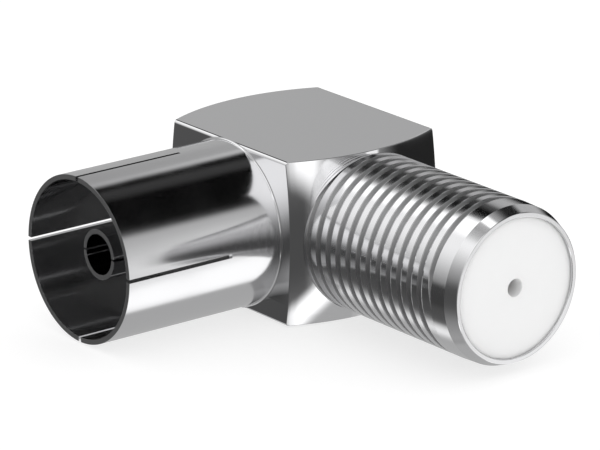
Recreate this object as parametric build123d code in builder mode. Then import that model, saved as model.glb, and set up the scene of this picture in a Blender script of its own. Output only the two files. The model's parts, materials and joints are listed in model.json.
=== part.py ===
"""Right-angle adapter: F socket on one arm, slotted 9.5 mm coaxial socket on the other.

The F arm runs along +X and the coaxial arm along -Y. Their axes cross inside the block, above the
origin, which is the middle of the block's bottom face. +Z is up and sizes are in millimetres.
"""

import os
from math import sqrt

from build123d import *

# Block: a rectangular bar with a crowned face at each end
block_width = 11.0
block_edge_radius = 0.2
crown_reach = 7.0
crown_radius_plan = 12.9
crown_radius_side = 33.0
chamber_step = 0.1
chamber_end_room = 0.3

# Barrel of the F arm: the cylinder of its 3/8-32 thread, a relief behind it and a tapered nose before it
f_reach = 19.45
thread_diameter = 9.525
thread_depth = 0.35
relief_chamfer = 0.2
wall_under_thread = 0.26
barrel_engagement = 2.2
nose_length = 1.35
nose_shoulder_length = 0.6
nose_shoulder_step = 0.29
nose_wall = 0.27

# White insulator in the nose
insulator_seat_step = 0.45
insulator_recess = 0.15
insulator_thickness = 2.6
entry_hole_radius = 0.53
entry_hole_length = 1.2
entry_lead_in = 0.12

# Spring contact of the F arm
f_contact_radius = 1.1
f_contact_bore_radius = 0.52
f_contact_bore_depth = 8.0
f_contact_slot_length = 4.0
f_contact_slot_width = 0.2
f_contact_tail_beyond_axis = 1.5
guide_clearance = 0.1
f_rear_insulator_length = 4.0

# Slotted sleeve of the coaxial arm
coax_reach = 16.4
sleeve_bore_radius = 4.7
sleeve_wall = 0.3
sleeve_slot_count = 4
sleeve_slot_width = 0.22
sleeve_slot_length = 7.3
sleeve_floor_depth = 9.0
spigot_radius = 3.6
spigot_wall = 0.6
spigot_length = 2.4
rim_break = 0.05

# Bead in the bottom of the sleeve
coax_bead_thickness = 1.0
coax_bead_neck_length = 3.0

# Slotted tube contact of the coaxial arm
coax_contact_radius = 1.5
coax_contact_bore_radius = 1.22
coax_contact_bore_depth = 6.8
coax_contact_recess = 1.45
coax_contact_slot_length = 4.6
coax_contact_slot_width = 0.22
coax_contact_shoulder_depth = 2.0
tail_radius = 0.6
tail_beyond_contact = 0.3

# Radii and stations worked out from the sizes above, along each arm from where the axes cross
sleeve_radius = sleeve_bore_radius + sleeve_wall
block_height = 2 * sleeve_radius
axis_height = block_height / 2
crest_radius = thread_diameter / 2
root_radius = crest_radius - thread_depth
insulator_radius = root_radius - wall_under_thread
barrel_bore_radius = insulator_radius - insulator_seat_step
nose_tip_radius = insulator_radius + nose_wall
nose_shoulder_radius = nose_tip_radius + nose_shoulder_step
barrel_seat = crown_reach - barrel_engagement
side_face = block_width / 2
insulator_face = f_reach - insulator_recess
insulator_back = insulator_face - insulator_thickness
entry_hole_end = insulator_face - entry_hole_length
f_contact_tip = entry_hole_end - guide_clearance
sleeve_floor = coax_reach - sleeve_floor_depth
spigot_bore_radius = spigot_radius - spigot_wall
chamber_radius = spigot_bore_radius + chamber_step
spigot_end = side_face - spigot_length
coax_bead_face = sleeve_floor + coax_bead_thickness
coax_bead_back = sleeve_floor - coax_bead_neck_length
coax_contact_tip = coax_reach - coax_contact_recess
coax_contact_shoulder = coax_bead_face - coax_contact_shoulder_depth
tail_end = f_contact_radius + tail_beyond_contact

# Each arm has a plane for its half profiles: x is the distance out from where the axes cross, y the radius
crossing = (0, 0, axis_height)
f_axis = Axis(crossing, (1, 0, 0))
coax_axis = Axis(crossing, (0, -1, 0))
f_profile_plane = Plane(origin=crossing, x_dir=(1, 0, 0), z_dir=(0, -1, 0))
coax_profile_plane = Plane(origin=crossing, x_dir=(0, -1, 0), z_dir=(-1, 0, 0))

os.makedirs("parts", exist_ok=True)

# A solid that bulges both ways towards +X. It trims one end of the block, and its mirror image the other.
crown_half_height = block_height
crown_drop = crown_radius_side - sqrt(crown_radius_side**2 - crown_half_height**2)
crown_axis_x = crown_reach - crown_radius_plan
with BuildPart() as crown:
    with BuildSketch(f_profile_plane):
        with BuildLine():
            crown_arc = ThreePointArc(
                (crown_reach - crown_drop, -crown_half_height),
                (crown_reach, 0),
                (crown_reach - crown_drop, crown_half_height),
            )
            Polyline(
                crown_arc @ 1,
                (crown_axis_x, crown_half_height),
                (crown_axis_x, -crown_half_height),
                crown_arc @ 0,
            )
        make_face()
    revolve(axis=Axis((crown_axis_x, 0, 0), (0, 0, 1)))

# The block: a bar with eased long edges, both ends crowned, bored from the F end and from the flat side
with BuildPart() as angle_body:
    with BuildSketch(Plane.YZ.offset(-crown_reach)):
        with Locations((0, axis_height)):
            RectangleRounded(block_width, block_height, block_edge_radius)
    extrude(amount=2 * crown_reach)
    add(crown.part, mode=Mode.INTERSECT)
    add(mirror(crown.part, about=Plane.YZ, mode=Mode.PRIVATE), mode=Mode.INTERSECT)
    with Locations(Plane(origin=(crown_reach, 0, axis_height), z_dir=(1, 0, 0))):
        CounterBoreHole(
            radius=chamber_radius,
            counter_bore_radius=root_radius,
            counter_bore_depth=barrel_engagement,
            depth=crown_reach + chamber_radius + chamber_end_room,
        )
    with Locations(Plane(origin=(0, -side_face, axis_height), z_dir=(0, -1, 0))):
        CounterBoreHole(
            radius=spigot_bore_radius,
            counter_bore_radius=spigot_radius,
            counter_bore_depth=spigot_length,
            depth=side_face,
        )
angle_body.part.label = "angle_body"
export_step(angle_body.part, "parts/angle_body.step")

# The barrel: a turned tube with a plain land in the block, the thread's cylinder, and a nose counterbored
# for the insulator. The fine thread's ridges are a finish on that cylinder.
thread_start = crown_reach
nose_start = f_reach - nose_length
nose_shoulder = nose_start + nose_shoulder_length
with BuildPart() as f_barrel:
    with BuildSketch(f_profile_plane):
        with BuildLine():
            Polyline(
                (barrel_seat, barrel_bore_radius),
                (barrel_seat, root_radius),
                (thread_start - relief_chamfer, root_radius),
                (thread_start, crest_radius),
                (nose_start, crest_radius),
                (nose_shoulder, nose_shoulder_radius),
                (f_reach, nose_tip_radius),
                (f_reach, insulator_radius),
                (insulator_back, insulator_radius),
                (insulator_back, barrel_bore_radius),
                close=True,
            )
        make_face()
    revolve(axis=f_axis)
f_barrel.part.label = "f_barrel"
export_step(f_barrel.part, "parts/f_barrel.step")

# The white insulator: a disc with a countersunk entry hole, and a wider hole behind it for the contact
with BuildPart() as f_insulator:
    with BuildSketch(f_profile_plane):
        with BuildLine():
            Polyline(
                (insulator_back, f_contact_radius + guide_clearance),
                (insulator_back, insulator_radius),
                (insulator_face, insulator_radius),
                (insulator_face, entry_hole_radius + entry_lead_in),
                (insulator_face - entry_lead_in, entry_hole_radius),
                (entry_hole_end, entry_hole_radius),
                (entry_hole_end, f_contact_radius + guide_clearance),
                close=True,
            )
        make_face()
    revolve(axis=f_axis)
f_insulator.part.label = "f_insulator"
export_step(f_insulator.part, "parts/f_insulator.step")

# The bead that holds the F contact, pressed into the barrel's bore and stopped by the block
with BuildPart() as f_rear_insulator:
    with BuildSketch(Plane(origin=(barrel_seat, 0, axis_height), z_dir=(1, 0, 0))):
        Circle(barrel_bore_radius)
        Circle(f_contact_radius, mode=Mode.SUBTRACT)
    extrude(amount=f_rear_insulator_length)
f_rear_insulator.part.label = "f_rear_insulator"
export_step(f_rear_insulator.part, "parts/f_rear_insulator.step")

# The F spring contact: a rod bored and slotted at its mouth into four fingers, cross-drilled at its tail
f_contact_tail = -f_contact_tail_beyond_axis
with BuildPart() as f_contact:
    with BuildSketch(Plane(origin=(f_contact_tail, 0, axis_height), z_dir=(1, 0, 0))):
        Circle(f_contact_radius)
    extrude(amount=f_contact_tip - f_contact_tail)
    with Locations(Plane(origin=(f_contact_tip, 0, axis_height), z_dir=(1, 0, 0))):
        Hole(f_contact_bore_radius, depth=f_contact_bore_depth)
    with BuildSketch(Plane(origin=(f_contact_tip, 0, axis_height), z_dir=(1, 0, 0))):
        Rectangle(2 * f_contact_radius, f_contact_slot_width)
        Rectangle(f_contact_slot_width, 2 * f_contact_radius)
    extrude(amount=-f_contact_slot_length, mode=Mode.SUBTRACT)
    with Locations(Plane(origin=crossing, z_dir=(0, -1, 0))):
        Hole(tail_radius)
f_contact.part.label = "f_contact"
export_step(f_contact.part, "parts/f_contact.step")

# The sleeve: a turned tube with a floor and a spigot, slotted into spring fingers from its mouth
with BuildPart() as coax_sleeve:
    with BuildSketch(coax_profile_plane):
        with BuildLine():
            Polyline(
                (spigot_end, spigot_bore_radius),
                (spigot_end, spigot_radius),
                (side_face, spigot_radius),
                (side_face, sleeve_radius),
                (coax_reach - rim_break, sleeve_radius),
                (coax_reach, sleeve_radius - rim_break),
                (coax_reach, sleeve_bore_radius + rim_break),
                (coax_reach - rim_break, sleeve_bore_radius),
                (sleeve_floor, sleeve_bore_radius),
                (sleeve_floor, spigot_bore_radius),
                close=True,
            )
        make_face()
    revolve(axis=coax_axis)
    with BuildSketch(Plane(origin=(0, -coax_reach, axis_height), z_dir=(0, -1, 0))):
        with PolarLocations(sleeve_radius, sleeve_slot_count):
            Rectangle(2 * (sleeve_wall + rim_break), sleeve_slot_width)
    extrude(amount=-sleeve_slot_length, mode=Mode.SUBTRACT)
coax_sleeve.part.label = "coax_sleeve"
export_step(coax_sleeve.part, "parts/coax_sleeve.step")

# The bead in the sleeve's floor: a disc with a neck down the spigot, bored in two steps for the contact
with BuildPart() as coax_insulator:
    with BuildSketch(coax_profile_plane):
        with BuildLine():
            Polyline(
                (coax_bead_back, tail_radius),
                (coax_bead_back, spigot_bore_radius),
                (sleeve_floor, spigot_bore_radius),
                (sleeve_floor, sleeve_bore_radius),
                (coax_bead_face, sleeve_bore_radius),
                (coax_bead_face, coax_contact_radius),
                (coax_contact_shoulder, coax_contact_radius),
                (coax_contact_shoulder, tail_radius),
                close=True,
            )
        make_face()
    revolve(axis=coax_axis)
coax_insulator.part.label = "coax_insulator"
export_step(coax_insulator.part, "parts/coax_insulator.step")

# The tube contact: bored and split in two at its mouth, with a tail that fills the F contact's cross hole
with BuildPart() as coax_contact:
    with BuildSketch(Plane(origin=(0, tail_end, axis_height), z_dir=(0, -1, 0))):
        Circle(tail_radius)
    extrude(amount=tail_end + coax_contact_shoulder)
    with BuildSketch(Plane(origin=(0, -coax_contact_shoulder, axis_height), z_dir=(0, -1, 0))):
        Circle(coax_contact_radius)
    extrude(amount=coax_contact_tip - coax_contact_shoulder)
    with Locations(Plane(origin=(0, -coax_contact_tip, axis_height), z_dir=(0, -1, 0))):
        Hole(coax_contact_bore_radius, depth=coax_contact_bore_depth)
    with BuildSketch(Plane(origin=(0, -coax_contact_tip, axis_height), x_dir=(1, 0, 0), z_dir=(0, -1, 0))):
        Rectangle(2 * coax_contact_radius, coax_contact_slot_width)
    extrude(amount=-coax_contact_slot_length, mode=Mode.SUBTRACT)
coax_contact.part.label = "coax_contact"
export_step(coax_contact.part, "parts/coax_contact.step")
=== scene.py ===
"""A right-angle adapter with a threaded F socket on one arm and a slotted aerial socket on the other.

The frame is the CAD model's: +X out of the F arm, -Y out of the aerial arm, +Z up. Pieces are modelled
in millimetres, at their real place, and turned to metres when they are done.
"""

import json
from math import atan2, cos, pi, radians, sin, sqrt

import bmesh
import bpy
from mathutils import Matrix, Vector


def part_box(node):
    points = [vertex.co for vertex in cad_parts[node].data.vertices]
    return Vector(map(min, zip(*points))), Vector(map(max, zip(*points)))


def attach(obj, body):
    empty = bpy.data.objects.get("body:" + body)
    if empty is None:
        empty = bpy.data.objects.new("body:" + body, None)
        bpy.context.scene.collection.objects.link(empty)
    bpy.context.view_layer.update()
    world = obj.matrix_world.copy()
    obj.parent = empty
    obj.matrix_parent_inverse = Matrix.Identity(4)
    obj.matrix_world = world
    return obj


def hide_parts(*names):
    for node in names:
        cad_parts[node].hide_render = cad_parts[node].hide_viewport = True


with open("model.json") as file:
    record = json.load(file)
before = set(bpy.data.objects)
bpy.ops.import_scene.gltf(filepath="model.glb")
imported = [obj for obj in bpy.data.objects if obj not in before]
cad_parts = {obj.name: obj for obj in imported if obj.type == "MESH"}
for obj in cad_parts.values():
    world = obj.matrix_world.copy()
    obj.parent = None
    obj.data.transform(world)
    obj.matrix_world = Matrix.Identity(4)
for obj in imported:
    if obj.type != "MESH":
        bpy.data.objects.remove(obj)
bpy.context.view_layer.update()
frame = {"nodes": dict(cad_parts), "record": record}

# The elbow block: a bar of brass, cut off and crowned at both ends, with its long edges eased. It is bored
# from the F end and from the flat side for the two arms that are pressed in, then polished and plated.
MM_PER_METRE = 1000
METRES_PER_MM = 1 / MM_PER_METRE
axis_height = MM_PER_METRE * (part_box("coax_sleeve")[0].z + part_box("coax_sleeve")[1].z) / 2
crossing = Vector((0, 0, axis_height))
f_out = Vector((1, 0, 0))
coax_out = Vector((0, -1, 0))
block_width = 11.0
block_height = 2 * axis_height
block_edge_radius = 0.2
block_edge_steps = 5
crown_reach = 7.0
crown_radius_plan = 12.9
crown_radius_side = 33.0
crown_grid = 0.22
barrel_seat = 4.8
barrel_seat_radius = 4.4125
thread_mouth = 5.7
thread_mouth_radius = 4.77
chamber_radius = 3.1
chamber_past_crossing = 3.4
side_chamber_radius = 3.0
spigot_radius = 3.6
spigot_length = 2.4
plated_edge = 0.035
tool_segments = 96
tool_overrun = 1.0
merge_distance = 1e-4


def select_only(piece):
    """Makes the piece the only selected object, and the active one."""
    bpy.ops.object.select_all(action="DESELECT")
    piece.select_set(True)
    bpy.context.view_layer.objects.active = piece


def apply_modifier(piece, kind, **settings):
    """Adds a modifier with these settings and applies it."""
    modifier = piece.modifiers.new(kind.title(), kind)
    for name, value in settings.items():
        setattr(modifier, name, value)
    select_only(piece)
    bpy.ops.object.modifier_apply(modifier=modifier.name)


def apply_place(piece):
    """Puts the object's place and turn into its mesh."""
    select_only(piece)
    bpy.ops.object.transform_apply(location=True, rotation=True, scale=True)


def pick(piece, kind, passes):
    """In edit mode, selects just the edges or faces that pass."""
    bpy.ops.mesh.select_all(action="DESELECT")
    bpy.ops.mesh.select_mode(type=kind)
    shape = bmesh.from_edit_mesh(piece.data)
    for part in shape.edges if kind == "EDGE" else shape.faces:
        if passes(part):
            part.select_set(True)
    bmesh.update_edit_mesh(piece.data)


def turn(name, out, stations, segments, hollow=True):
    """Turns a half profile round an arm's axis. A ring of vertices is extruded and resized from station to
    station, each a distance out from where the axes cross and a radius. A hollow piece's profile closes on
    itself, and the two ends of a solid one are filled."""
    distance, radius = stations[0]
    bpy.ops.object.select_all(action="DESELECT")
    bpy.ops.mesh.primitive_circle_add(
        vertices=segments,
        radius=radius,
        location=crossing + out * distance,
        rotation=out.to_track_quat("Z", "Y").to_euler(),
    )
    piece = bpy.context.object
    piece.name = piece.data.name = name
    bpy.ops.object.mode_set(mode="EDIT")
    bpy.ops.mesh.select_mode(type="VERT")
    bpy.ops.mesh.select_all(action="SELECT")
    following = stations[1:] + stations[:1] if hollow else stations[1:]
    for near, far in zip(stations, following):
        bpy.ops.mesh.extrude_region_move(TRANSFORM_OT_translate={"value": out * (far[0] - near[0])})
        size = far[1] / near[1]
        bpy.ops.transform.resize(value=(size, size, size), center_override=crossing + out * far[0])
    bpy.ops.mesh.select_all(action="SELECT")
    bpy.ops.mesh.remove_doubles(threshold=merge_distance)
    if not hollow:
        bpy.ops.mesh.fill_holes(sides=0)
    bpy.ops.mesh.select_all(action="SELECT")
    bpy.ops.mesh.normals_make_consistent(inside=False)
    bpy.ops.object.mode_set(mode="OBJECT")
    apply_place(piece)
    return piece


def drill(piece, out, near, far, radius):
    """Bores the piece along an arm's axis."""
    tool = turn("tool", out, [(near, radius), (far, radius)], tool_segments, hollow=False)
    apply_modifier(piece, "BOOLEAN", operation="DIFFERENCE", object=tool, solver="MANIFOLD")
    bpy.data.objects.remove(tool)


def ease_edges(piece, width, sharpest=radians(40)):
    """Breaks the sharp edges, as plating leaves them, and keeps the faces beside them evenly shaded."""
    apply_modifier(
        piece,
        "BEVEL",
        width=width,
        segments=2,
        limit_method="ANGLE",
        angle_limit=sharpest,
        use_clamp_overlap=True,
        miter_outer="MITER_ARC",
    )
    select_only(piece)
    bpy.ops.object.shade_smooth_by_angle(angle=sharpest)
    apply_modifier(piece, "WEIGHTED_NORMAL", keep_sharp=True, weight=100)


def to_metres(piece):
    """Resizes a finished piece from millimetres, about the frame's origin."""
    piece.scale = (METRES_PER_MM, METRES_PER_MM, METRES_PER_MM)
    apply_place(piece)


def plating(slot, roughness, line_direction, turned_round=None):
    """Bright nickel-chrome plating, faintly uneven in gloss, with the fine polishing lines of the metal
    under it. The lines are spread along line_direction. A piece that is turned round an axis blurs what it
    shows a little along that axis. The patches and lines are counted per metre."""
    uneven = 0.2
    patches = 320
    lines_across, lines_along = 9000, 120
    line_height = 0.000002
    colour = next(m["base_color"] for m in frame["record"]["materials"] if m["slot"] == slot)
    material = bpy.data.materials.new(slot)
    material.use_nodes = True
    nodes, links = material.node_tree.nodes, material.node_tree.links
    shader = nodes["Principled BSDF"]
    shader.inputs["Base Color"].default_value = (*colour, 1)
    shader.inputs["Metallic"].default_value = 1
    place = nodes.new("ShaderNodeTexCoord")
    if turned_round:
        shader.inputs["Anisotropic"].default_value = 0.9
        shader.inputs["Anisotropic Rotation"].default_value = 0.25
        marks = nodes.new("ShaderNodeTangent")
        marks.direction_type = "RADIAL"
        marks.axis = turned_round
        links.new(marks.outputs["Tangent"], shader.inputs["Tangent"])

    cloud = nodes.new("ShaderNodeTexNoise")
    cloud.inputs["Scale"].default_value = patches
    cloud.inputs["Detail"].default_value = 3
    links.new(place.outputs["Object"], cloud.inputs["Vector"])
    gloss = nodes.new("ShaderNodeMapRange")
    gloss.inputs["From Min"].default_value = 0.3
    gloss.inputs["From Max"].default_value = 0.7
    gloss.inputs["To Min"].default_value = (1 - uneven) * roughness
    gloss.inputs["To Max"].default_value = (1 + uneven) * roughness
    links.new(cloud.outputs["Fac"], gloss.inputs["Value"])
    links.new(gloss.outputs["Result"], shader.inputs["Roughness"])

    stretch = nodes.new("ShaderNodeMapping")
    spread = [lines_across if part else lines_along for part in line_direction]
    stretch.inputs["Scale"].default_value = spread
    links.new(place.outputs["Object"], stretch.inputs["Vector"])
    lines = nodes.new("ShaderNodeTexNoise")
    lines.inputs["Scale"].default_value = 1
    lines.inputs["Detail"].default_value = 2
    links.new(stretch.outputs["Vector"], lines.inputs["Vector"])
    bump = nodes.new("ShaderNodeBump")
    bump.inputs["Strength"].default_value = 0.05
    bump.inputs["Distance"].default_value = line_height
    links.new(lines.outputs["Fac"], bump.inputs["Height"])
    links.new(bump.outputs["Normal"], shader.inputs["Normal"])
    return material


def put_in(piece, slot, material, *nodes_replaced):
    """Turns a finished piece to metres, gives it its material and its body, and hides the CAD nodes it
    stands for. The slot is not used.
    """
    to_metres(piece)
    piece.data.materials.clear()
    piece.data.materials.append(material)
    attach(piece, "root")
    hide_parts(*nodes_replaced)


def crown(y, z):
    """How far out the crowned end is: an arc in plan, with an arc from top to bottom."""
    radius = crown_radius_plan - crown_radius_side + sqrt(crown_radius_side**2 - (z - axis_height) ** 2)
    return crown_reach - crown_radius_plan + sqrt(radius**2 - y**2)


bpy.ops.object.select_all(action="DESELECT")
bpy.ops.mesh.primitive_cube_add(
    size=1,
    location=crossing,
    scale=(2 * crown_reach, block_width, block_height),
)
block = bpy.context.object
block.name = block.data.name = "elbow_block"
apply_place(block)
bpy.ops.object.mode_set(mode="EDIT")
pick(block, "EDGE", lambda edge: abs(edge.verts[0].co.x - edge.verts[1].co.x) > crown_reach)
bpy.ops.mesh.bevel(offset=block_edge_radius, segments=block_edge_steps, affect="EDGES")
for normal, half in ((Vector((0, 1, 0)), block_width / 2), (Vector((0, 0, 1)), block_height / 2)):
    flat = half - block_edge_radius
    cuts = round(flat / crown_grid)
    for cut in range(-cuts, cuts + 1):
        bpy.ops.mesh.select_all(action="SELECT")
        bpy.ops.mesh.bisect(
            plane_co=crossing + normal * (cut / cuts) * flat,
            plane_no=normal,
            threshold=1e-5,
        )
bpy.ops.object.mode_set(mode="OBJECT")
for corner in block.data.vertices:
    corner.co.x = (1 if corner.co.x > 0 else -1) * crown(corner.co.y, corner.co.z)
ease_edges(block, plated_edge)
drill(block, f_out, -chamber_past_crossing, crown_reach + tool_overrun, chamber_radius)
drill(block, f_out, barrel_seat, crown_reach + tool_overrun, barrel_seat_radius)
drill(block, f_out, thread_mouth, crown_reach + tool_overrun, thread_mouth_radius)
drill(block, coax_out, 0, block_width, side_chamber_radius)
drill(block, coax_out, block_width / 2 - spigot_length, block_width, spigot_radius)
block_plating = plating("plated_block", roughness=0.05, line_direction=(0, 0, 1))
put_in(block, "plated_block", block_plating, "angle_body")

# The outer sleeve of the aerial socket: a thin turned tube with a floor and a spigot, which is pressed
# into the block's flat side. Four slots make spring fingers of its mouth. Plated as the block is.
sleeve_radius = axis_height
sleeve_bore = 4.7
sleeve_reach = -MM_PER_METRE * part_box("coax_sleeve")[0].y
sleeve_floor = 7.4
slot_length = 7.3
slot_width = 0.17
spigot_bore = 3.0
sleeve_fillet = 0.12
fillet_turns = (70, 50, 30, 10)
sleeve_segments = 288
thin_edge = 0.012
dull_and_shade_margin = 0.03
sleeve = turn(
    "aerial_sleeve",
    coax_out,
    [
        (block_width / 2 - spigot_length, spigot_bore),
        (block_width / 2 - spigot_length, spigot_radius),
        (block_width / 2, spigot_radius),
        (block_width / 2, sleeve_radius + sleeve_fillet),
        *[
            (
                block_width / 2 + sleeve_fillet * (1 - sin(radians(turned))),
                sleeve_radius + sleeve_fillet * (1 - cos(radians(turned))),
            )
            for turned in fillet_turns
        ],
        (sleeve_reach - slot_length, sleeve_radius),
        (sleeve_reach - slot_length, sleeve_bore),
        (sleeve_floor, sleeve_bore),
        (sleeve_floor, spigot_bore),
    ],
    sleeve_segments,
)


def draw_fingers(piece, root, length, in_slot):
    """Extrudes the end face of a tube at root into spring fingers, and leaves the faces that lie in a slot
    behind."""
    outward = 0.9
    at_root = 1e-3
    bpy.ops.object.mode_set(mode="EDIT")
    pick(
        piece,
        "FACE",
        lambda face: face.normal.dot(coax_out) > outward
        and abs(face.calc_center_median().dot(coax_out) - root) < at_root
        and not in_slot(face.calc_center_median() - crossing),
    )
    bpy.ops.mesh.extrude_region_move(TRANSFORM_OT_translate={"value": coax_out * length})
    bpy.ops.object.mode_set(mode="OBJECT")


def dull_with_painted_shade(material, out, radius, farthest, roughness, brightness):
    """Leaves the plating dull where no polishing wheel reaches, and paints shade there by darkening its
    colour to brightness times itself: nearer to the arm's axis than the radius, and no farther out along
    it than farthest."""
    fading = 0.02
    nodes, links = material.node_tree.nodes, material.node_tree.links
    shader = nodes["Principled BSDF"]
    place = nodes.new("ShaderNodeTexCoord")
    centred = nodes.new("ShaderNodeVectorMath")
    centred.operation = "SUBTRACT"
    centred.inputs[1].default_value = crossing * METRES_PER_MM
    links.new(place.outputs["Object"], centred.inputs[0])
    across = nodes.new("ShaderNodeVectorMath")
    across.operation = "MULTIPLY"
    across.inputs[1].default_value = [1 - abs(part) for part in out]
    links.new(centred.outputs["Vector"], across.inputs[0])
    distance = nodes.new("ShaderNodeVectorMath")
    distance.operation = "LENGTH"
    links.new(across.outputs["Vector"], distance.inputs[0])
    deep = nodes.new("ShaderNodeMapRange")
    deep.inputs["From Min"].default_value = (radius - fading) * METRES_PER_MM
    deep.inputs["From Max"].default_value = radius * METRES_PER_MM
    deep.inputs["To Min"].default_value = 1
    deep.inputs["To Max"].default_value = 0
    links.new(distance.outputs["Value"], deep.inputs["Value"])
    along = nodes.new("ShaderNodeVectorMath")
    along.operation = "DOT_PRODUCT"
    along.inputs[1].default_value = out
    links.new(centred.outputs["Vector"], along.inputs[0])
    near = nodes.new("ShaderNodeMath")
    near.operation = "LESS_THAN"
    near.inputs[1].default_value = farthest * METRES_PER_MM
    links.new(along.outputs["Value"], near.inputs[0])
    dull_and_shaded_mask = nodes.new("ShaderNodeMath")
    dull_and_shaded_mask.operation = "MULTIPLY"
    links.new(deep.outputs["Result"], dull_and_shaded_mask.inputs[0])
    links.new(near.outputs["Value"], dull_and_shaded_mask.inputs[1])
    # Painted shade: inside the mask the plating's colour is darkened by brightness.
    painted_shade_tone = nodes.new("ShaderNodeMix")
    painted_shade_tone.data_type = "RGBA"
    colour = shader.inputs["Base Color"].default_value
    painted_shade_tone.inputs["A"].default_value = colour
    painted_shade_tone.inputs["B"].default_value = (*[part * brightness for part in colour[:3]], 1)
    links.new(dull_and_shaded_mask.outputs["Value"], painted_shade_tone.inputs["Factor"])
    links.new(painted_shade_tone.outputs["Result"], shader.inputs["Base Color"])
    gloss = nodes.new("ShaderNodeMix")
    gloss.data_type = "FLOAT"
    gloss.inputs["B"].default_value = roughness
    links.new(dull_and_shaded_mask.outputs["Value"], gloss.inputs["Factor"])
    links.new(shader.inputs["Roughness"].links[0].from_socket, gloss.inputs["A"])
    links.new(gloss.outputs["Result"], shader.inputs["Roughness"])


draw_fingers(
    sleeve,
    sleeve_reach - slot_length,
    slot_length,
    lambda place: min(abs(place.x), abs(place.z)) < slot_width / 2,
)
ease_edges(sleeve, thin_edge)
sleeve_plating = plating("plated_sleeve", roughness=0.1, line_direction=(0, 1, 0), turned_round="Y")
# Painted shade in the sleeve's bore: the plating is darker there, as well as dull.
dull_with_painted_shade(
    sleeve_plating,
    coax_out,
    sleeve_bore + dull_and_shade_margin,
    sleeve_reach,
    roughness=0.15,
    brightness=0.8,
)
put_in(sleeve, "plated_sleeve", sleeve_plating, "coax_sleeve")

# The tube contact in the middle of the sleeve: turned, bored and split in two at its mouth, so that it
# grips the plug's pin. Its tail goes through the F contact. Plated as the sleeve is.
contact_radius = 1.5
contact_bore = 1.22
contact_tip = 14.95
contact_shoulder = 6.4
contact_bore_depth = 6.8
contact_slot_length = 4.6
contact_slot_width = 0.14
tail_radius = 0.6
tail_end = 1.4
contact_segments = 78
tube_contact = turn(
    "aerial_contact",
    coax_out,
    [
        (-tail_end, tail_radius),
        (contact_shoulder, tail_radius),
        (contact_shoulder, contact_radius),
        (contact_tip - contact_slot_length, contact_radius),
        (contact_tip - contact_slot_length, contact_bore),
        (contact_tip - contact_bore_depth, contact_bore),
    ],
    contact_segments,
    hollow=False,
)
draw_fingers(
    tube_contact,
    contact_tip - contact_slot_length,
    contact_slot_length,
    lambda place: abs(place.z) < contact_slot_width / 2,
)
ease_edges(tube_contact, thin_edge)
contact_plating = plating("plated_contact", roughness=0.06, line_direction=(0, 1, 0))
put_in(tube_contact, "plated_contact", contact_plating, "coax_contact")

# The bead that holds the tube contact: a moulded disc of dark plastic with a neck down the spigot, bored
# in two steps for the contact and its tail.
bead_face = 8.4
bead_back = 4.4
moulded_edge = 0.06
moulded_segments = 144
aerial_bead = turn(
    "aerial_bead",
    coax_out,
    [
        (bead_back, tail_radius),
        (bead_back, spigot_bore),
        (sleeve_floor, spigot_bore),
        (sleeve_floor, sleeve_bore),
        (bead_face, sleeve_bore),
        (bead_face, contact_radius),
        (contact_shoulder, contact_radius),
        (contact_shoulder, tail_radius),
    ],
    moulded_segments,
)
ease_edges(aerial_bead, moulded_edge)


def moulded_plastic(slot, roughness, grain, depth_of_light=0):
    """Moulded plastic with a slightly uneven surface, grain in millimetres. Light goes into a translucent
    one as deep as depth_of_light, in millimetres."""
    share_inside = 0.6
    darkest = 0.985
    uneven = 0.15
    grain_height = 0.00001
    colour = next(m["base_color"] for m in frame["record"]["materials"] if m["slot"] == slot)
    material = bpy.data.materials.new(slot)
    material.use_nodes = True
    nodes, links = material.node_tree.nodes, material.node_tree.links
    shader = nodes["Principled BSDF"]
    if depth_of_light:
        shader.inputs["Subsurface Weight"].default_value = share_inside
        shader.inputs["Subsurface Radius"].default_value = (1, 1, 1)
        shader.inputs["Subsurface Scale"].default_value = depth_of_light * METRES_PER_MM
    place = nodes.new("ShaderNodeTexCoord")
    cloud = nodes.new("ShaderNodeTexNoise")
    cloud.inputs["Scale"].default_value = 1 / (grain * METRES_PER_MM)
    cloud.inputs["Detail"].default_value = 4
    links.new(place.outputs["Object"], cloud.inputs["Vector"])
    tint = nodes.new("ShaderNodeMix")
    tint.data_type = "RGBA"
    tint.inputs["A"].default_value = (*[darkest * part for part in colour], 1)
    tint.inputs["B"].default_value = (*colour, 1)
    links.new(cloud.outputs["Fac"], tint.inputs["Factor"])
    links.new(tint.outputs["Result"], shader.inputs["Base Color"])
    gloss = nodes.new("ShaderNodeMapRange")
    gloss.inputs["To Min"].default_value = (1 - uneven) * roughness
    gloss.inputs["To Max"].default_value = (1 + uneven) * roughness
    links.new(cloud.outputs["Fac"], gloss.inputs["Value"])
    links.new(gloss.outputs["Result"], shader.inputs["Roughness"])
    bump = nodes.new("ShaderNodeBump")
    bump.inputs["Strength"].default_value = 0.1
    bump.inputs["Distance"].default_value = grain_height
    links.new(cloud.outputs["Fac"], bump.inputs["Height"])
    links.new(bump.outputs["Normal"], shader.inputs["Normal"])
    return material


bead_plastic = moulded_plastic("bead_plastic", roughness=0.5, grain=0.3)
put_in(aerial_bead, "bead_plastic", bead_plastic, "coax_insulator")

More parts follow.
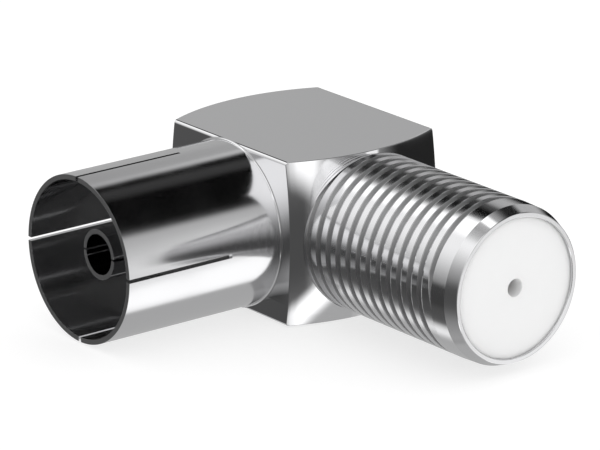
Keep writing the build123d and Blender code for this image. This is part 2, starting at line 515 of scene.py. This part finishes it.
# The barrel of the F socket: turned, threaded in the photograph's twelve turns from the block to the land
# before its nose, and counterbored for the white insulator. Its seat is pressed into the block. Plated.
f_reach = MM_PER_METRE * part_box("f_barrel")[1].x
crest_radius = MM_PER_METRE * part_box("f_barrel")[1].y
thread_pitch = 0.913
thread_depth = 0.3
crest_end = 0.43
groove_bottom = 0.62
slope_start = 0.813
slope_drop = 0.03
first_crest = 3.8155
thread_turns = 18
land_start = 17.6
chamfer_length = 0.75
nose_shoulder = f_reach - chamfer_length
nose_shoulder_radius = 4.7125
nose_tip_radius = 4.4225
insulator_radius = 4.1525
barrel_bore = 3.7025
insulator_back = 16.7
barrel_segments = 180
spare = 0.1
barrel = turn(
    "f_barrel_threaded",
    f_out,
    [
        (barrel_seat, barrel_bore),
        (barrel_seat, barrel_seat_radius),
        (thread_mouth, barrel_seat_radius),
        (thread_mouth, crest_radius + spare),
        (land_start - spare, crest_radius + spare),
        (land_start - spare, crest_radius),
        (nose_shoulder, nose_shoulder_radius),
        (f_reach, nose_tip_radius),
        (f_reach, insulator_radius),
        (insulator_back, insulator_radius),
        (insulator_back, barrel_bore),
    ],
    barrel_segments,
)
ease_edges(barrel, plated_edge)

# The thread's rod: one pitch of its profile is screwed along the axis. The last groove closes on the
# barrel's left side, against the plain land before the nose. The barrel keeps what lies in both.
last_groove = 14
last_groove_turn = 102 / 360
run_out_turns = 0.075
run_out_place = 0.85
groove_half = 0.25
weld_distance = 1e-3
facet_angle = radians(4)
profile = [
    (0, 0),
    (crest_end, 0),
    (groove_bottom, thread_depth),
    (slope_start, slope_drop),
    (thread_pitch, 0),
]
bpy.ops.object.select_all(action="DESELECT")
bpy.ops.mesh.primitive_plane_add(size=1, location=crossing)
rod = bpy.context.object
bpy.ops.object.mode_set(mode="EDIT")
bpy.ops.mesh.select_mode(type="VERT")
bpy.ops.mesh.select_all(action="SELECT")
bpy.ops.mesh.merge(type="CENTER")
bpy.ops.transform.translate(value=(first_crest, 0, crest_radius))
for near, far in zip(profile, profile[1:]):
    step = (far[0] - near[0], 0, near[1] - far[1])
    bpy.ops.mesh.extrude_vertices_move(TRANSFORM_OT_translate={"value": step})
bpy.ops.object.mode_set(mode="OBJECT")
apply_modifier(
    rod,
    "SCREW",
    axis="X",
    angle=2 * pi,
    screw_offset=thread_pitch,
    steps=barrel_segments,
    render_steps=barrel_segments,
    iterations=thread_turns,
)
for point in rod.data.vertices:
    past_top = atan2(-point.co.y, point.co.z) / (2 * pi)
    along = (point.co.x - first_crest - groove_bottom) / thread_pitch - past_top
    groove = round(along)
    if abs(along - groove) < groove_half:
        turns_left = last_groove + last_groove_turn - groove - past_top
        still_open = max(0, min(1, turns_left / run_out_turns))
        tip = first_crest + (groove + past_top + run_out_place) * thread_pitch
        point.co.x = tip + (point.co.x - tip) * still_open
        radius = sqrt(point.co.y**2 + point.co.z**2)
        new_radius = crest_radius - (crest_radius - radius) * still_open
        point.co.y *= new_radius / radius
        point.co.z *= new_radius / radius
apply_place(rod)
bpy.ops.object.mode_set(mode="EDIT")
bpy.ops.mesh.select_all(action="SELECT")
bpy.ops.mesh.remove_doubles(threshold=weld_distance)
bpy.ops.mesh.fill_holes(sides=0)
bpy.ops.mesh.select_all(action="SELECT")
bpy.ops.mesh.normals_make_consistent(inside=False)
bpy.ops.object.mode_set(mode="OBJECT")
land_radius = crest_radius + 2 * spare
land = turn(
    "land",
    f_out,
    [(land_start, land_radius), (f_reach + tool_overrun, land_radius)],
    tool_segments,
    hollow=False,
)
apply_modifier(rod, "BOOLEAN", operation="UNION", object=land, solver="MANIFOLD")
bpy.data.objects.remove(land)
apply_modifier(barrel, "BOOLEAN", operation="INTERSECT", object=rod, solver="MANIFOLD")
bpy.data.objects.remove(rod)
select_only(barrel)
bpy.ops.mesh.customdata_custom_splitnormals_clear()
bpy.ops.object.shade_smooth_by_angle(angle=facet_angle)
barrel_plating = plating("plated_barrel", roughness=0.1, line_direction=(1, 0, 0), turned_round="X")
# Painted shade in the thread's grooves, below the crests and before the land: the plating is darker there,
# as well as dull.
dull_with_painted_shade(
    barrel_plating,
    f_out,
    crest_radius - dull_and_shade_margin,
    land_start,
    roughness=0.6,
    brightness=0.8,
)
put_in(barrel, "plated_barrel", barrel_plating, "f_barrel")

# The white insulator in the barrel's nose: a moulded disc, a little below the rim, with a countersunk hole
# for the cable's centre wire and a wider hole behind it for the spring contact.
insulator_recess = 0.15
insulator_face = f_reach - insulator_recess
entry_hole = 0.53
entry_lead_in = 0.02
entry_hole_depth = 1.2
entry_hole_end = insulator_face - entry_hole_depth
guide_bore = 1.2
insulator = turn(
    "f_white_insulator",
    f_out,
    [
        (insulator_back, guide_bore),
        (insulator_back, insulator_radius),
        (insulator_face, insulator_radius),
        (insulator_face, entry_hole + entry_lead_in),
        (insulator_face - entry_lead_in, entry_hole),
        (entry_hole_end, entry_hole),
        (entry_hole_end, guide_bore),
    ],
    moulded_segments,
)
ease_edges(insulator, moulded_edge)
white_plastic = moulded_plastic("white_insulator", roughness=0.3, grain=0.8, depth_of_light=0.8)
put_in(insulator, "white_insulator", white_plastic, "f_insulator")

# The F spring contact and the bead that holds it stay as the CAD model has them, deep in the barrel. The
# contact is turned from bronze, and the bead is moulded.
bronze = plating("bronze_contact", roughness=0.2, line_direction=(1, 0, 0))
for node, material in (("f_contact", bronze), ("f_rear_insulator", bead_plastic)):
    kept = frame["nodes"][node]
    kept.data.materials.clear()
    kept.data.materials.append(material)

# The camera stands 26 cm away with a long lens, above the part and between its two arms, so that it sees
# both mouths. Its place and lens were fitted to the photograph.
camera_place = Vector((0.196398, -0.153948, 0.087015))
camera_azimuth = radians(51.9534)
camera_elevation = radians(18.4652)
camera_roll = radians(-0.1487)
bpy.ops.object.camera_add()
camera = bpy.context.object
camera.matrix_world = (
    Matrix.Translation(camera_place)
    @ Matrix.Rotation(camera_azimuth, 4, "Z")
    @ Matrix.Rotation(pi / 2 - camera_elevation, 4, "X")
    @ Matrix.Rotation(camera_roll, 4, "Z")
)
camera.data.sensor_width = 36
camera.data.lens = 264.93
camera.data.clip_start = 0.01
bpy.context.scene.camera = camera

# The floor: a plain white sheet that keeps a light shadow of the part. The metal looks past it into the
# studio below, as in the photograph.
floor_size = 4
floor_height = -0.00012
floor_grey = 0.4
floor_glow = 0.7
bpy.ops.object.select_all(action="DESELECT")
bpy.ops.mesh.primitive_plane_add(size=floor_size, location=(0, 0, floor_height))
floor = bpy.context.object
floor.name = "floor"
floor.visible_glossy = False
paper = bpy.data.materials.new("floor_paper")
paper.use_nodes = True
nodes, links = paper.node_tree.nodes, paper.node_tree.links
nodes.clear()
sheet = nodes.new("ShaderNodeBsdfDiffuse")
sheet.inputs["Color"].default_value = (floor_grey, floor_grey, floor_grey, 1)
glow = nodes.new("ShaderNodeEmission")
glow.inputs["Strength"].default_value = floor_glow
both = nodes.new("ShaderNodeAddShader")
links.new(sheet.outputs["BSDF"], both.inputs[0])
links.new(glow.outputs["Emission"], both.inputs[1])
result = nodes.new("ShaderNodeOutputMaterial")
links.new(both.outputs["Shader"], result.inputs["Surface"])
floor.data.materials.append(paper)

# The studio: soft white panels and black cards that the plating shows, where all else sees plain white.
# Most of them were fitted to the reflections in the photograph, rounded and then adjusted, and four were
# added.
wall_brightness = 0.45
plain_light = 0.92
# A panel is the azimuth and height of its middle, half width, half height, soft edges both ways and tilt,
# in degrees, and its brightness. A later panel stands in front of an earlier one.
studio_panels = [
    (80, 57, 46, 22, 6, 4, 9, 0.00),  # black ceiling
    (155, 47, 15, 14, 12, 4, 30, 0.00),  # ceiling, left end
    (152, 30, 7, 7, 3, 3, 0, 0.04),  # below the ceiling's left end
    (14, 47, 20, 8, 4, 4, -27, 0.03),  # ceiling, right end
    (211, 70, 19, 5, 7, 1, 2, 0.15),  # grey ceiling
    (183, 63, 44, 19, 10, 4, -41, 1.50),  # upper left white
    (223, 22, 21, 30, 9, 6, 28, 1.05),  # left side light
    (297, 54, 41, 24, 4, 21, -16, 1.20),  # front white
    (237, -17, 38, 29, 7, 27, 24, 0.08),  # left front dark
    (311, -23, 50, 22, 6, 18, 7, 0.08),  # right front dark
    (206, -48, 21, 5, 10, 5, -15, 1.00),  # low front white
    (51, -36, 15, 17, 4, 8, -6, 1.25),  # low right white
    (6, -30, 17, 3, 7, 2, 21, 1.60),  # right, below dark
    (358, 6, 8, 12, 5, 4, -17, 1.40),  # right, above dark
    (343, 39, 13, 4, 3, 2, 18, 1.50),  # right upper light
    (70, -10, 29, 3, 14, 1, -7, 0.02),  # back low dark
    (127, 18, 4, 20, 4, 10, 4, 1.45),  # back left white
    (36, -5, 4, 15, 1, 22, -5, 1.10),  # right side light
    (139, -23, 1, 3, 3, 3, 1, 0.85),  # left rim white
    (130, -4, 11, 13, 6, 9, 7, 0.00),  # back left card
    (225, -15, 6, 11, 3, 4, 0, 0.05),  # left dark notch
    (104, 53, 11, 4, 8, 3, 0, 0.05),  # faint streak in the ceiling
]
world = bpy.data.worlds.new("studio")
bpy.context.scene.world = world
world.use_nodes = True
nodes, links = world.node_tree.nodes, world.node_tree.links
look = nodes.new("ShaderNodeTexCoord")
parts = nodes.new("ShaderNodeSeparateXYZ")
links.new(look.outputs["Generated"], parts.inputs["Vector"])
azimuth = nodes.new("ShaderNodeMath")
azimuth.operation = "ARCTAN2"
links.new(parts.outputs["Y"], azimuth.inputs[0])
links.new(parts.outputs["X"], azimuth.inputs[1])
height = nodes.new("ShaderNodeMath")
height.operation = "ARCSINE"
links.new(parts.outputs["Z"], height.inputs[0])
angles = nodes.new("ShaderNodeCombineXYZ")
links.new(azimuth.outputs["Value"], angles.inputs["X"])
links.new(height.outputs["Value"], angles.inputs["Y"])
brightness = nodes.new("ShaderNodeValue")
brightness.outputs["Value"].default_value = wall_brightness
seen = brightness.outputs["Value"]
for middle, middle_height, half_width, half_height, soft_side, soft_top, tilt, strength in studio_panels:
    inner = (radians(half_width - soft_side), radians(half_height - soft_top), 0)
    outer = (radians(half_width + soft_side), radians(half_height + soft_top), 1)
    offset = nodes.new("ShaderNodeVectorMath")
    offset.operation = "SUBTRACT"
    offset.inputs[1].default_value = (radians(middle), radians(middle_height), 0)
    links.new(angles.outputs["Vector"], offset.inputs[0])
    nearest = nodes.new("ShaderNodeVectorMath")
    nearest.operation = "WRAP"
    nearest.inputs[1].default_value = (pi, pi, 1)
    nearest.inputs[2].default_value = (-pi, -pi, -1)
    links.new(offset.outputs["Vector"], nearest.inputs[0])
    turned = nodes.new("ShaderNodeVectorRotate")
    turned.rotation_type = "Z_AXIS"
    turned.inputs["Angle"].default_value = radians(-tilt)
    links.new(nearest.outputs["Vector"], turned.inputs["Vector"])
    away = nodes.new("ShaderNodeVectorMath")
    away.operation = "ABSOLUTE"
    links.new(turned.outputs["Vector"], away.inputs[0])
    edge = nodes.new("ShaderNodeMapRange")
    edge.data_type = "FLOAT_VECTOR"
    edge.interpolation_type = "SMOOTHSTEP"
    edge.inputs["From Min"].default_value = inner
    edge.inputs["From Max"].default_value = outer
    edge.inputs["To Min"].default_value = (1, 1, 1)
    edge.inputs["To Max"].default_value = (0, 0, 0)
    links.new(away.outputs["Vector"], edge.inputs["Vector"])
    sides = nodes.new("ShaderNodeSeparateXYZ")
    links.new(edge.outputs["Vector"], sides.inputs["Vector"])
    cover = nodes.new("ShaderNodeMath")
    cover.operation = "MULTIPLY"
    links.new(sides.outputs["X"], cover.inputs[0])
    links.new(sides.outputs["Y"], cover.inputs[1])
    laid = nodes.new("ShaderNodeMix")
    laid.data_type = "FLOAT"
    laid.inputs["B"].default_value = strength
    links.new(cover.outputs["Value"], laid.inputs["Factor"])
    links.new(seen, laid.inputs["A"])
    seen = laid.outputs["Result"]
ray = nodes.new("ShaderNodeLightPath")
lit = nodes.new("ShaderNodeMix")
lit.data_type = "FLOAT"
lit.inputs["A"].default_value = plain_light
links.new(ray.outputs["Is Glossy Ray"], lit.inputs["Factor"])
links.new(seen, lit.inputs["B"])
level = nodes.new("ShaderNodeMix")
level.data_type = "FLOAT"
level.inputs["B"].default_value = 1
links.new(ray.outputs["Is Camera Ray"], level.inputs["Factor"])
links.new(lit.outputs["Result"], level.inputs["A"])
background = nodes["Background"]
background.inputs["Color"].default_value = (1, 1, 1, 1)
links.new(level.outputs["Result"], background.inputs["Strength"])
bpy.context.scene.view_settings.view_transform = "Standard"
